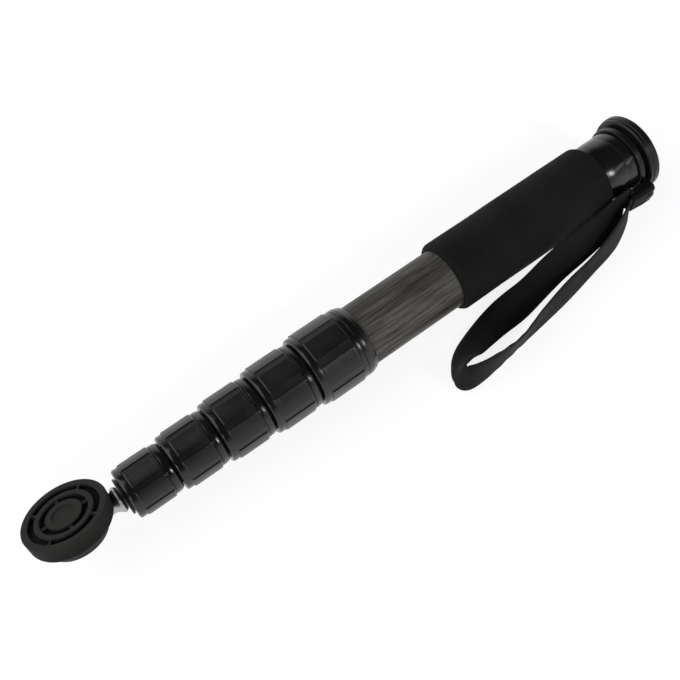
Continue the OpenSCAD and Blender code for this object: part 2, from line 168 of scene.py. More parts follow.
def blend_colour(tree, share, low, high):
    """Mix two colours by a share from 0 to 1."""
    mix = node(tree, "Mix", data_type="RGBA")
    colour_in = [s for s in mix.inputs if s.type == "RGBA"]
    tree.links.new(share, mix.inputs[0])
    for socket, value in zip(colour_in, (low, high)):
        if isinstance(value, bpy.types.NodeSocket):
            tree.links.new(value, socket)
        else:
            socket.default_value = (*value, 1)
    return [s for s in mix.outputs if s.type == "RGBA"][0]


def spread(tree, value, low, high):
    """Stretch a 0 to 1 value over low to high."""
    return node(tree, "MapRange", {"Value": value, "To Min": low, "To Max": high}).outputs[0]


def new_group(name, inputs, outputs):
    """An empty shader group with float inputs (and one vector, Place) and float outputs."""
    group = bpy.data.node_groups.new(name, "ShaderNodeTree")
    group.interface.new_socket("Place", in_out="INPUT", socket_type="NodeSocketVector")
    for title in inputs:
        group.interface.new_socket(title, in_out="INPUT", socket_type="NodeSocketFloat")
    for title in outputs:
        group.interface.new_socket(title, in_out="OUTPUT", socket_type="NodeSocketFloat")
    return group, group.nodes.new("NodeGroupInput").outputs, group.nodes.new("NodeGroupOutput").inputs


def new_finish(name, **plain):
    """A Principled material; plain values go straight on the shader's own sockets."""
    finish = bpy.data.materials.new(name)
    finish.use_nodes = True
    tree = finish.node_tree
    shader = tree.nodes["Principled BSDF"]
    for title, value in plain.items():
        shader.inputs[title.replace("_", " ")].default_value = value
    place = tree.nodes.new("ShaderNodeTexCoord").outputs["Object"]
    return finish, tree, shader, place


# %% [markdown]
# ## Shared effects
# *Grain* is the fine uneven skin of moulded rubber, nylon and foam. *Handling* is what use leaves: broad,
# soft patches of wiped and dusty surface, with a few small specks. *Turning lines* are the fine rings that
# a lathe tool leaves round the axis. All read Object coordinates, so they stay on the piece in any pose.

# %% Shared effects
grain, places, out = new_group("grain", ["Cells per metre"], ["Height", "Pits"])
cells = {"Vector": places["Place"], "Scale": places["Cells per metre"]}
small = node(grain, "TexNoise", {**cells, "Detail": 4.0})
pits = node(grain, "TexVoronoi", cells)
grain.links.new(small.outputs[0], out["Height"])
grain.links.new(spread(grain, pits.outputs["Distance"], 0.0, 1.4), out["Pits"])

handling, places, out = new_group("handling", ["Patches per metre"], ["Wiped", "Dust"])
specks_per_metre = 900.0
patches = {"Vector": places["Place"], "Scale": places["Patches per metre"], "Detail": 3.0}
broad = node(handling, "TexNoise", patches)
specks = node(handling, "TexNoise", {"Vector": places["Place"], "Scale": specks_per_metre, "Detail": 2.0})
wiped = node(handling, "MapRange", {"Value": broad.outputs[0], "From Min": 0.35, "From Max": 0.68})
speck = node(handling, "MapRange", {"Value": specks.outputs[0], "From Min": 0.66, "From Max": 0.78})
handling.links.new(wiped.outputs[0], out["Wiped"])
handling.links.new(math(handling, "MULTIPLY", speck.outputs[0], wiped.outputs[0]), out["Dust"])

turning, places, out = new_group("turning_lines", ["Lines per metre"], ["Height"])
along = node(turning, "SeparateXYZ", {0: places["Place"]}).outputs[0]
rings = node(turning, "TexNoise", {"W": along, "Scale": places["Lines per metre"], "Detail": 2.0},
             noise_dimensions="1D")
turning.links.new(rings.outputs[0], out["Height"])
print("groups:", [g.name for g in (grain, handling, turning)])


def use_group(tree, group, place, per_metre):
    """Place a shared effect with its one number, a count per metre, and give its outputs."""
    made = node(tree, "Group", node_tree=group)
    tree.links.new(place, made.inputs[0])
    made.inputs[1].default_value = per_metre
    return made.outputs


def bump(tree, shader, height, distance):
    """Feed a height from 0 to 1, times a distance in metres, to the shader's normal."""
    made = node(tree, "Bump", {"Height": height, "Distance": distance, "Strength": 1.0})
    tree.links.new(made.outputs[0], shader.inputs["Normal"])


# %% [markdown]
# ## Black anodised aluminium
# The platform, neck, ferrules and lock nuts are turned aluminium, dyed black and sealed. The sealed skin is
# glass-like, so a dark dielectric with a low roughness looks truer than a metal. Faint turning lines break
# the highlights along the axis, and handling makes some patches a little duller and greyer.

# %% Anodised finish
def anodised_finish(name, gloss, lines, specular):
    """Near black; wiped patches are paler and rougher than gloss, and dust lies on them in specks. lines is
    the height of the turning lines in metres."""
    finish, tree, shader, place = new_finish(name, Specular_IOR_Level=specular)
    wiped, dust = use_group(tree, handling, place, per_metre=55.0)
    colour = blend_colour(tree, wiped, (0.0042, 0.0042, 0.0044), (0.0075, 0.0075, 0.0078))
    colour = blend_colour(tree, math(tree, "MULTIPLY", dust, 0.5), colour, (0.03, 0.03, 0.028))
    tree.links.new(colour, shader.inputs["Base Color"])
    tree.links.new(spread(tree, wiped, gloss, gloss + 0.07), shader.inputs["Roughness"])
    bump(tree, shader, use_group(tree, turning, place, per_metre=2600.0)[0], lines)
    return finish


anodised = anodised_finish("black_anodised", gloss=0.17, lines=0.000009, specular=0.5)
anodised_satin = anodised_finish("black_anodised_satin", gloss=0.33, lines=0.00002, specular=0.3)
print("made", anodised.name, anodised_satin.name)

# %% [markdown]
# ## Carbon tube
# The tubes are rolled from carbon tape with most fibres along the leg, ground and given a thin satin
# lacquer. A picture could be wrapped round them, but noise has no seam and stays sharp close up. Noise
# stretched eighteen times along X gives fine flecks; a second, coarser one gives the broad bands where one
# tape ends. Warm grey and nearly black are mixed by them.

# %% Carbon finish
carbon, tree, shader, place = new_finish("carbon_laminate", Specular_IOR_Level=0.35)
fine = node(tree, "Mapping", {"Vector": place, "Scale": (45.0, 800.0, 800.0)})
fibres = node(tree, "TexNoise", {"Vector": fine.outputs[0], "Scale": 1.0, "Detail": 5.0, "Roughness": 0.62})
wide = node(tree, "Mapping", {"Vector": place, "Scale": (9.0, 130.0, 130.0)})
bands = node(tree, "TexNoise", {"Vector": wide.outputs[0], "Scale": 1.0, "Detail": 2.0})
streak = node(tree, "MapRange", {"Value": fibres.outputs[0], "From Min": 0.34, "From Max": 0.68}).outputs[0]
band = node(tree, "MapRange", {"Value": bands.outputs[0], "From Min": 0.36, "From Max": 0.64}).outputs[0]
pale = blend_colour(tree, band, (0.076, 0.07, 0.061), (0.165, 0.151, 0.131))
tree.links.new(blend_colour(tree, streak, (0.018, 0.0168, 0.0148), pale), shader.inputs["Base Color"])
tree.links.new(spread(tree, streak, 0.58, 0.42), shader.inputs["Roughness"])
bump(tree, shader, fibres.outputs[0], distance=0.00005)
print("made", carbon.name)

# %% [markdown]
# ## Rubber and nylon
# The lock sleeves, the keeper, the pad and the foot are moulded rubber, and the hidden bushes are nylon.
# Each could have nodes of its own, but one recipe serves all, with its own colour, roughness and size of
# grain: the mould's fine texture as bump, and specks of dust in patches. Walking greys the high parts of
# the sole, and the grooves get a painted shade, near black, where light hardly reaches. So the foot's
# finish also reads a mark from its mesh, 1 where it is worn and 0 down in the grooves.

# %% Moulded finishes
def moulded_finish(name, dark, pale, rough, cells, depth, specular, low=None):
    """Colour runs from dark to pale with six parts of wiping and four of grain, under specks of dust.
    low is the colour where the mesh's mark is 0: on the foot, a painted shade in the grooves. depth is the
    grain's height in metres."""
    finish, tree, shader, place = new_finish(name, Specular_IOR_Level=specular)
    height, pits = use_group(tree, grain, place, per_metre=cells)
    wiped, dust = use_group(tree, handling, place, per_metre=70.0)
    shade = math(tree, "ADD", math(tree, "MULTIPLY", wiped, 0.6), math(tree, "MULTIPLY", height, 0.4))
    colour = blend_colour(tree, shade, dark, pale)
    colour = blend_colour(tree, math(tree, "MULTIPLY", dust, 0.35), colour, (0.06, 0.058, 0.054))
    # Where the mark is 0 the colour is low: on the foot this is a painted shade down in the grooves.
    if low:
        kept = node(tree, "Attribute", attribute_name="marks").outputs["Vector"]
        colour = blend_colour(tree, node(tree, "SeparateXYZ", {0: kept}).outputs[0], low, colour)
    tree.links.new(colour, shader.inputs["Base Color"])
    tree.links.new(spread(tree, wiped, rough, rough + 0.1), shader.inputs["Roughness"])
    bump(tree, shader, math(tree, "SUBTRACT", height, math(tree, "MULTIPLY", pits, 0.3)), depth)
    return finish


sleeve_rubber = moulded_finish("sleeve_rubber", (0.0055, 0.0055, 0.0052), (0.008, 0.008, 0.0076),
                               rough=0.28, cells=2600.0, depth=0.000012, specular=0.5)
# The foot's low colour, near black, is a painted shade for the grooves; the paler colours are the rubber
# and its wear.
foot_rubber = moulded_finish("foot_rubber", (0.024, 0.024, 0.0225), (0.034, 0.034, 0.032),
                             rough=0.66, cells=1500.0, depth=0.00006, specular=0.12, low=(0.0012,) * 3)
pad_rubber = moulded_finish("pad_rubber", (0.012,) * 3, (0.019,) * 3,
                            rough=0.7, cells=1800.0, depth=0.00006, specular=0.3)
keeper_rubber = moulded_finish("keeper_rubber", (0.0014,) * 3, (0.0024,) * 3,
                               rough=0.6, cells=1800.0, depth=0.00005, specular=0.14)
nylon = moulded_finish("moulded_nylon", (0.02, 0.02, 0.021), (0.028, 0.028, 0.029),
                       rough=0.5, cells=1200.0, depth=0.00003, specular=0.5)
print("made five moulded finishes")

# %% [markdown]
# ## Foam
# The grip is closed-cell foam with a sanded skin. It is nearly black and scatters light at every angle, so
# there is little gloss. Cells of about half a millimetre show as tiny pits. They are too small to be worth
# a mesh, so they are bump. The colour drifts slightly where hands have polished it.

# %% Foam finish
foam, tree, shader, place = new_finish("grip_foam", Specular_IOR_Level=0.14)
height, pits = use_group(tree, grain, place, per_metre=1900.0)
wiped, dust = use_group(tree, handling, place, per_metre=38.0)
colour = blend_colour(tree, wiped, (0.008, 0.008, 0.0075), (0.0108, 0.0108, 0.0101))
colour = blend_colour(tree, math(tree, "MULTIPLY", dust, 0.4), colour, (0.045, 0.044, 0.042))
tree.links.new(colour, shader.inputs["Base Color"])
tree.links.new(spread(tree, wiped, 0.86, 0.74), shader.inputs["Roughness"])
bump(tree, shader, math(tree, "SUBTRACT", height, math(tree, "MULTIPLY", pits, 0.6)), distance=0.00012)
print("made", foam.name)

# %% [markdown]
# ## Steel
# The stud under the tip is polished, the camera stud and the clip are plain turned steel, and the rivet is
# blackened. All are metals, so their colour is what they reflect. Anisotropy could draw the lathe's
# streaks, but lines in roughness and bump can also be seen close up.

# %% Steel finishes
def steel_finish(name, colour, rough, lines):
    """A metal, up to a fifth darker where it is wiped and scored, and rougher on the scored lines."""
    finish, tree, shader, place = new_finish(name, Metallic=1.0)
    wiped = use_group(tree, handling, place, per_metre=160.0)[0]
    scored = use_group(tree, turning, place, per_metre=5200.0)[0]
    darker = tuple(0.82 * c for c in colour)
    tree.links.new(blend_colour(tree, math(tree, "MULTIPLY", wiped, scored), colour, darker),
                   shader.inputs["Base Color"])
    tree.links.new(spread(tree, scored, rough, rough + 0.1), shader.inputs["Roughness"])
    bump(tree, shader, scored, lines)
    return finish


polished = steel_finish("polished_steel", (0.46, 0.455, 0.445), rough=0.3, lines=0.000002)
steel = steel_finish("turned_steel", (0.50, 0.50, 0.50), rough=0.24, lines=0.00002)
blackened = steel_finish("blackened_steel", (0.03, 0.03, 0.03), rough=0.4, lines=0.00002)
print("made", polished.name, steel.name, blackened.name)

# %% [markdown]
# ## Webbing
# The wrist strap is a flat nylon webbing in plain weave: yarns along the strap pass over and under the
# yarns across it. Object coordinates would run straight through the fold, so the pattern reads marks kept
# on the mesh: millimetres along the strap, and millimetres across it. A yarn is half a wave across, and
# alternate yarns are half a step along.

# %% Webbing finish
webbing, tree, shader, place = new_finish("black_webbing", Specular_IOR_Level=0.2, Sheen_Weight=0.03,
                                          Sheen_Roughness=0.45)
yarn_wide, pick = 0.85, 0.8
kept = node(tree, "Attribute", attribute_name="marks").outputs["Vector"]
marks = node(tree, "SeparateXYZ", {0: kept}).outputs
yarn = math(tree, "DIVIDE", marks[1], yarn_wide)
odd = math(tree, "MULTIPLY", math(tree, "FLOOR", yarn), np.pi)
over = math(tree, "SINE", math(tree, "ADD", math(tree, "MULTIPLY", marks[0], np.pi / pick), odd))
rounded = math(tree, "ABSOLUTE", math(tree, "SINE", math(tree, "MULTIPLY", yarn, np.pi)))
weave = math(tree, "MULTIPLY", rounded, spread(tree, math(tree, "MULTIPLY", over, 0.5), 0.35, 1.0))
wiped, dust = use_group(tree, handling, place, per_metre=60.0)
colour = blend_colour(tree, weave, (0.0045, 0.0045, 0.0043), (0.0075, 0.0075, 0.0071))
colour = blend_colour(tree, math(tree, "MULTIPLY", dust, 0.5), colour, (0.05, 0.049, 0.047))
tree.links.new(colour, shader.inputs["Base Color"])
tree.links.new(spread(tree, wiped, 0.8, 0.66), shader.inputs["Roughness"])
bump(tree, shader, weave, distance=0.00011)
print("made", webbing.name)

# %% [markdown]
# ## Wrist strap
# The strap leaves the keeper, runs close over the floor beside the grip, folds and comes back with half a
# twist. Its rows are those of the CAD route, raised and a little wider beside the keeper: centre points,
# the lean of its width from flat, and the width itself.
# A bevelled curve object could draw it, but would get thinner wherever it gets narrower. Here a smooth
# curve runs through the rows, and a thin section with rolled edges is carried along it.
# A real strap's edges are looser than its middle, so they ripple a little after the fold.

# %% Wrist strap
strap_from = np.array([-19.5, -22.15, -3.5])
strap_rows = np.array([
    [0, 1.05, 0, -90, 11], [-1.9, 1.05, 0, -90, 11], [-4, 1.05, 1.3, -86, 15.5], [-8, 0.2, 2.4, -73, 17.5],
    [-25.5, -2.9, 1.3, -54, 17], [-41.5, -4.1, 0.8, -45, 17], [-56.5, -4.3, -3.6, -42, 17],
    [-75.5, -5.8, -10.3, -36, 17], [-94.5, -6.7, -13.3, 5, 17], [-110.5, -10, -11, 26, 17],
    [-120, -12.7, -9.5, 38, 17], [-127, -15.9, -7.7, 59, 17], [-131.5, -19.6, -6.7, 74, 17],
    [-130, -23.9, -7.1, 69, 17], [-118.5, -25.8, -6.8, 80, 17], [-98.5, -24.8, -7, 92, 17],
    [-78.5, -20.9, -7.2, 82, 17], [-58.5, -17.3, -7.5, 76, 17], [-38.5, -14.1, -6.6, 79, 17],
    [-20.5, -10.3, -4.3, 75, 16.5], [-8, -4.8, -1, 80, 16.5], [-4, -1.6, 0, 88, 13.5],
    [-1.9, -1.05, 0, 90, 11], [0, -1.05, 0, 90, 11]])


def smooth_rows(rows, steps):
    """A curve through all rows: from b to c it is the cubic with the slopes (c - a) / 2 and (d - b) / 2."""
    padded = np.concatenate([rows[:1], rows, rows[-1:]])
    a, b, c, d = (padded[k:k + len(rows) - 1, None, :] for k in range(4))
    f = np.linspace(0, 1, steps, endpoint=False)[None, :, None]
    curve = (b + (c - a) * f / 2 + (2 * a - 5 * b + 4 * c - d) * f**2 / 2
             + (3 * b - a - 3 * c + d) * f**3 / 2)
    return np.concatenate([curve.reshape(-1, rows.shape[1]), rows[-1:]])


def unit(v):
    """Vectors of length one."""
    return v / np.linalg.norm(v, axis=-1, keepdims=True)


def strap_surface(rows, thickness, across=15):
    """At each row the width direction is side cos(lean) + (ahead x side) sin(lean), and the thickness
    stands across it. The section is two faces whose half thickness falls to a third at the edges. After the
    fold the edges rise and fall as a sine along the strap, under a bell curve."""
    ripple_at, ripple_reach, ripple_high, ripple_long = 172, 13, 0.22, 8.5
    crowd, edge_loss, edge_power = 0.8, 0.66, 7
    line = strap_from + rows[:, :3]
    ahead = np.gradient(line, axis=0)
    ahead[0], ahead[-1] = (-1, 0, 0), (1, 0, 0)
    ahead = unit(ahead)
    side = unit(np.cross((0, 0, 1), ahead))
    lean = np.radians(rows[:, 3:4])
    width = np.cos(lean) * side + np.sin(lean) * np.cross(ahead, side)
    out = np.cross(ahead, width)
    v = np.linspace(-1, 1, across)
    v = np.sign(v) * np.abs(v) ** crowd
    half = thickness / 2 * (1 - edge_loss * np.abs(v) ** edge_power)
    v, h = np.concatenate([v, v[::-1]]), np.concatenate([half, -half[::-1]])
    run = np.concatenate([[0], np.cumsum(np.linalg.norm(np.diff(line, axis=0), axis=1))])
    fold = np.exp(-((run - ripple_at) / ripple_reach) ** 2)[:, None]
    ripple = ripple_high * fold * np.sin(run * 2 * np.pi / ripple_long)[:, None] * np.abs(v) ** 3
    reach = rows[:, 4:5] / 2 * v
    points = line[:, None] + reach[..., None] * width[:, None] + (h + ripple)[..., None] * out[:, None]
    marks = np.stack([np.broadcast_to(run[:, None], reach.shape), reach, np.zeros_like(reach)], -1)
    ends = [np.broadcast_to(p, points[:1].shape) for p in (line[0], line[-1])]
    points = np.concatenate([ends[0], points, ends[1]])
    marks = np.concatenate([marks[:1], marks, marks[-1:]])
    return points, marks, line, run


points, marks, strap_line, run = strap_surface(smooth_rows(strap_rows, steps=14), thickness=1.46)
strap = stands_for(make_piece("webbing_loop", points, marks=marks), "wrist_strap", webbing)
print("strap length", round(run[-1], 1), "mm")

# %% [markdown]
# ## Turned pieces
# The platform, neck, ferrules, nuts and tubes come off a lathe or a mandrel. Each is a closed profile that
# is carried round the leg. A Screw modifier could do that, but as an array the radius can also change with
# the angle. A corner of the profile is u, r and the size of its round: real edges are always broken, which
# also gives the thin bright lines that edges show in the photograph.

# %% Lathe
def soften(corners, steps=5):
    """Round the corners of a profile. A corner is (u, r, size): the points at that distance along its two
    sides are joined by the quadratic curve (1-t)^2 A + 2t(1-t) P + t^2 B, which touches both sides."""
    corners = np.array(corners, float)
    p, size = corners[:, None, :2], corners[:, None, 2:]
    before, after = unit(np.roll(p, 1, 0) - p), unit(np.roll(p, -1, 0) - p)
    t = np.linspace(0, 1, steps)[None, :, None]
    curve = (1 - t) ** 2 * (p + before * size) + 2 * t * (1 - t) * p + t**2 * (p + after * size)
    return curve.reshape(-1, 2)


def turn(profile, turns=144):
    """Carry (u, r) round the leg: x = -u, y = r sin a, z = r cos a. r may differ from column to column."""
    a = np.arange(turns) * 2 * np.pi / turns
    u, r = np.broadcast_arrays(profile[:, :1], profile[:, 1:])
    return np.stack(np.broadcast_arrays(-u, r * np.sin(a), r * np.cos(a)), -1)


def turned(name, corners, node_name, finish, turns=144):
    """A lathe piece that stands for one CAD node."""
    return stands_for(make_piece(name, turn(soften(corners), turns), True), node_name, finish)


def reach_of(node_name):
    """Where a CAD node starts and ends along u, and its largest radius, in millimetres."""
    low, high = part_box(node_name)
    return -high.x / MM, -low.x / MM, high.z / MM


turned("turned_platform", [
    (1.0, 4.8, 0.1), (1.0, 17.53, 0.1), (0, 17.53, 0.15), (0, 20.25, 0.35), (0.65, 20.9, 0.35),
    (3.6, 20.9, 0.12), (3.85, 20.5, 0.1), (5.3, 20.5, 0.3), (6, 19.8, 0.3), (6, 14.77, 0.1),
    (15, 14.77, 0.3), (15, 3.2, 0.2), (6.33, 3.2, 0.1), (6.03, 4.8, 0.1)],
    "platform", anodised_satin, turns=192)
turned("neck_upper", [
    (6.03, 16.03, 0.1), (6.03, 16.6, 0.15), (11.5, 16.6, 0.1), (11.5, 17, 0.22), (17.2, 17, 0.14),
    (17.2, 16.03, 0.1)], "neck_collar", anodised, turns=192)
turned("neck_lower", [
    (17.23, 16.03, 0.1), (17.23, 17, 0.14), (25.4, 17, 1.8), (30, 16.25, 0.05), (30, 16.03, 0.05)],
    "neck_sleeve", anodised, turns=192)

# %% [markdown]
# ## Camera stud and pad
# The stud has the usual three-eighths inch thread, sixteen turns to the inch. A helix could be swept round
# a core, but a radius that depends on the height less the angle gives one closed skin: a V with narrow
# flats at crest and root. The pad round it is a rubber ring with fine concentric ribs, which help a camera
# plate to grip.

# %% Stud and pad
def thread_surface(radius, pitch, from_x, to_x, lead, turns=96):
    """r = radius - depth * wave(x / pitch - a / 2 pi), where the wave is 0 on the crest and 1 in the root.
    A cone at the tip limits r to radius - lead + distance from the tip."""
    depth, flat = 0.56 * pitch, 0.12
    x = np.linspace(to_x, from_x, 150)[:, None]
    a = np.arange(turns)[None] * 2 * np.pi / turns
    turn_of = (x / pitch - a / (2 * np.pi)) % 1
    wave = np.clip((np.abs(turn_of - 0.5) * 2 - flat) / (1 - 2 * flat), 0, 1)
    r = np.minimum(radius - depth * wave, radius - lead + (to_x - x))
    points = np.stack(np.broadcast_arrays(x, r * np.sin(a), r * np.cos(a)), -1)
    shank = [(0.2, 4.5, 0), (5.8, 4.5, 0.1), (6.3, 3.17, 0.1), (14, 3.17, 0.2), (14, 0, 0)]
    inside = turn(soften(shank), turns)
    pole = np.broadcast_to((to_x, 0, 0), points[:1].shape)
    return np.concatenate([pole, points, inside])


thread = thread_surface(radius=4.7625, pitch=25.4 / 16, from_x=0.0, to_x=11.0, lead=1.1)
stands_for(make_piece("threaded_stud", thread), "camera_stud", steel)
pad_in, pad_out, pad_low = 6.36, 17.5, 0.97
rib_pitch, rib_half = 1.392, 0.16
rib = np.linspace(pad_in, pad_out, 121)
ribs = np.stack([rib_half - rib_half * np.cos((rib - pad_in) * 2 * np.pi / rib_pitch), rib], -1)
ribs = np.concatenate([ribs, [(pad_low, pad_out), (pad_low, pad_in)]])
stands_for(make_piece("ribbed_pad", turn(ribs), True), "platform_pad", pad_rubber)

# %% [markdown]
# ## Strap ring
# A thin ring turns on the neck and carries the strap on a lug. The lug could be a block that is joined on,
# with hidden faces left inside. Here the ring's outer radius depends on the angle: it is the circle, or the
# lug's flat face where that lies further out.

# %% Strap ring
ring_in, ring_out = 16.75, 18.25
lug_face, lug_above, lug_below = 18.75, 0.5, 7.5


def lug_radius(a):
    """Outline of ring and lug as a radius: the circle, or inside the lug the nearer of its face, which is
    distance / cos of the angle from -Y, and its two sides, distance / sin."""
    from_lug = (a + np.pi / 2 + np.pi) % (2 * np.pi) - np.pi
    sine = np.where(np.abs(from_lug) < 1e-6, 1e-6, np.sin(from_lug))
    side = np.where(sine > 0, lug_above / sine, -lug_below / sine)
    face = lug_face / np.maximum(np.cos(from_lug), 0.2)
    return np.maximum(ring_out, np.where(np.abs(from_lug) < 0.5, np.minimum(face, side), 0))


turns = 720
ring_top, ring_end = 7.9, 11.2
band = soften([(ring_top, ring_in, 0.1), (ring_top, ring_out, 0.35), (ring_end, ring_out, 0.35),
               (ring_end, ring_in, 0.1)])
angles = np.arange(turns) * 2 * np.pi / turns
swell = (lug_radius(angles) - ring_out) * ((band[:, 1:] - ring_in) / (ring_out - ring_in))
profile = np.concatenate([band[:, :1], band[:, 1:] + swell], 1)
stands_for(make_piece("swivel_band", turn(profile, turns), True), "strap_ring", anodised_satin)

# %% [markdown]
# ## Keeper and rivet
# The keeper is a soft block on the lug that holds both strap ends. It could be a box with a hole cut in it.
# A loft from one outline to the next gives its rounds, its narrowing and its mouth in one closed skin. A
# rivet with a low dome, a quarter ellipse turned round Y, goes through it.

# %% Keeper and rivet
def resample(loop, n):
    """n points spaced evenly along a closed loop."""
    closed = np.concatenate([loop, loop[:1]])
    run = np.concatenate([[0], np.cumsum(np.linalg.norm(np.diff(closed, axis=0), axis=1))])
    at = np.linspace(0, run[-1], n, endpoint=False)
    return np.stack([np.interp(at, run, closed[:, k]) for k in (0, 1)], -1)


def keeper_surface(n=120):
    """Outlines in (y, z) joined from u 7 to u 21.4. Each end is rounded: the outline shrinks by 1 - sin and
    moves by 1 - cos of a quarter turn. It narrows towards the mouth, whose rim and bottom come last."""
    top, end, deep, size = 7, 21.4, 19.4, 0.9
    centre = strap_from[1:]
    block = resample(soften([(3.4, 7, 0.8), (3.4, -7, 0.8), (-1.8, -7, 0.9), (-3.4, -5.4, 0.9),
                             (-3.4, 5.4, 0.9), (-1.8, 7, 0.9)]), n)
    mouth = resample(soften([(2.1, 6, 0.5), (2.1, -6, 0.5), (0, -6, 0.1), (-2.1, -6, 0.5),
                             (-2.1, 6, 0.5), (0, 6, 0.1)]), n)
    q = np.linspace(0, np.pi / 2, 6)
    inset = 1 - np.outer(1 - np.sin(q), size / np.array([3.4, 7]))
    narrow = np.array([0.8, 0.92])
    first = [(top + size * (1 - np.cos(k)), block * s) for k, s in zip(q, inset)]
    last = [(end - size * (1 - np.cos(k)), block * s * narrow) for k, s in zip(q[::-1], inset[::-1])]
    inner = [(end, mouth * 1.03), (end - 0.25, mouth), (deep, mouth), (deep, mouth * 0)]
    rows = [(top, block * 0)] + first + [(13, block)] + last + inner
    u = np.array([r[0] for r in rows])[:, None, None]
    flat = centre + np.array([r[1] for r in rows])
    return np.concatenate([np.broadcast_to(-u, flat.shape[:2] + (1,)), flat], -1)


stands_for(make_piece("strap_block", keeper_surface()), "strap_keeper", keeper_rubber)
rivet_x, rivet_y, rivet_z = -9.55, -25.55, -3.5
q = np.linspace(0, np.pi / 2, 9)
dome_high, dome_r, pin_r, pin_long = 0.8, 2.6, 1.5, 7.5
cap = np.stack([dome_high * np.cos(q), dome_r * np.sin(q)], -1)
dome = np.concatenate([cap, [(0.02, pin_r), (-pin_long, pin_r), (-pin_long, 0)]])
a = np.arange(48) * 2 * np.pi / 48
dome_points = np.stack(np.broadcast_arrays(
    rivet_x + dome[:, 1:] * np.sin(a), rivet_y - dome[:, :1], rivet_z + dome[:, 1:] * np.cos(a)), -1)
stands_for(make_piece("rivet_dome", dome_points), "strap_rivet", blackened)

# %% [markdown]
# ## Foam grip
# A foam sleeve is pulled over the tube and keeps a soft, slightly uneven skin. A cloth simulation could
# puff it up, but this foam is firm and tight on its tube. So it is a lathe profile with large end rounds,
# lowered by a slow wave and a little by fine waves, so that its outline is never a perfect line. It only
# moves inwards and stays in the space that its solid holds.

# %% Foam grip
def foam_surface(top, end, radius, inside, size, turns=240):
    """The radius, less a round of the given size at both ends, and less small waves along and round it."""
    slow_deep, fine_deep = 0.16, 0.03
    q = np.linspace(0, np.pi / 2, 10)
    u = np.concatenate([top + size * (1 - np.cos(q)), np.linspace(top + size, end - size, 130)[1:-1],
                        end - size * (1 - np.cos(q[::-1]))])
    from_end = np.minimum(u - top, end - u)
    round_off = size - np.sqrt(np.maximum(0, size**2 - np.maximum(0, size - from_end) ** 2))
    a = np.arange(turns) * 2 * np.pi / turns
    slow = 0.5 + 0.25 * np.sin(u / 9.1)[:, None] * np.cos(2 * a + 0.7) + 0.25 * np.sin(u / 5.3 + 1)[:, None]
    fine = np.sin(u * 2.3)[:, None] * np.sin(23 * a + u[:, None] * 0.9)
    r = (radius - round_off)[:, None] - slow_deep * slow - fine_deep * (1 + fine)
    outer = np.concatenate([u[:, None], r], 1)
    wall = np.broadcast_to(inside, (2, turns))
    inner = np.concatenate([np.array([[end], [top]]), wall], 1)
    return turn(np.concatenate([outer, inner]), turns)


top, end, radius = reach_of("foam_grip")
grip = make_piece("foam_sleeve", foam_surface(top, end, radius, inside=16.03, size=2.8), True, crease=60)
stands_for(grip, "foam_grip", foam)

# %% [markdown]
# ## Tubes
# Six tubes slide one inside the next, each 3.2 mm narrower. A cylinder with Solidify would do as well, but
# the lathe is already here: a tube is a closed ring profile with broken edges. Its carbon look is all in
# the finish.

# %% Tubes
tube_wall = 1.2
for i in range(1, 7):
    top, end, radius = reach_of(f"tube_{i}")
    inside = radius - tube_wall
    wall = [(top, inside, 0.2), (top, radius, 0.25), (end, radius, 0.25), (end, inside, 0.2)]
    turned(f"carbon_tube_{i}", wall, f"tube_{i}", carbon)

# %% [markdown]
# ## Lock bands and nuts
# Each lock is a threaded band bonded to the end of a tube, and a nut that turns on it. The first band
# flares out from the tube, the others have a round shoulder. The nut has a flange at both ends, which
# hold the rubber sleeve between them, and a rounded lower lip. A lock could be one stack of rings, but its
# nut has to turn on its own, so band and nut are two pieces.

# %% Lock bands and nuts
first_tube, tube_step = 16, 1.6
fit, face_gap = 0.03, 0.2
first_flange, top_flange, low_flange, flange_in = 2.4, 0.6, 3.6, 0.4
lip_round = 1.35
shoulder_long, shoulder_deep = 3.2, 1.4
for i in range(1, 6):
    tube = first_tube - tube_step * (i - 1)
    top, end, radius = reach_of(f"ferrule_{i}")
    nut_top, nut_end, nut_r = reach_of(f"twist_ring_{i}")
    step = nut_top - face_gap
    if i == 1:
        flare = step - first_flange
        shoulder = [(top, tube + 1.13, 0.4), ((top + flare) / 2, tube + 1.73, 0.8), (flare, radius, 0.7)]
    else:
        q = np.linspace(0, np.pi / 2, 6)
        shoulder_u = top + shoulder_long * (1 - np.cos(q))
        shoulder_r = radius - shoulder_deep + shoulder_deep * np.sin(q)
        shoulder = [(u, r, 0.16) for u, r in zip(shoulder_u, shoulder_r)]
    turned(f"lock_band_{i}", [
        (top, tube + fit, 0.1), *shoulder, (step, radius, 0.25), (step, tube + 1, 0.1),
        (end, tube + 1, 0.3), (end, tube + fit, 0.1)], f"ferrule_{i}", anodised)
    groove, flange = nut_r - flange_in, nut_top + (first_flange if i == 1 else top_flange)
    low, bore, narrow = nut_end - low_flange, tube + 1.1, tube - 1.2
    turned(f"lock_nut_{i}", [
        (nut_top, bore, 0.1), (nut_top, nut_r, 0.2), (flange, nut_r, 0.12), (flange, groove, 0.05),
        (low, groove, 0.05), (low, nut_r, 0.12), (nut_end, nut_r, lip_round),
        (nut_end, narrow, 0.15), (nut_end - 1.2, narrow, 0.15), (nut_top + 11, bore, 0.1)],
        f"twist_ring_{i}", anodised)

# %% [markdown]
# ## Lock sleeves
# Round each nut sits a rubber sleeve with eight flattish panels and lower strips between them. The panels
# could be plates set on a cylinder, but such a sleeve is one moulding. So the outer radius is a function
# of angle and height: the panel's shallow arc or the strip, a soft step between the two, fine diagonal ribs
# on the panels, and a bevel at both ends. Columns crowd at the panel edges.

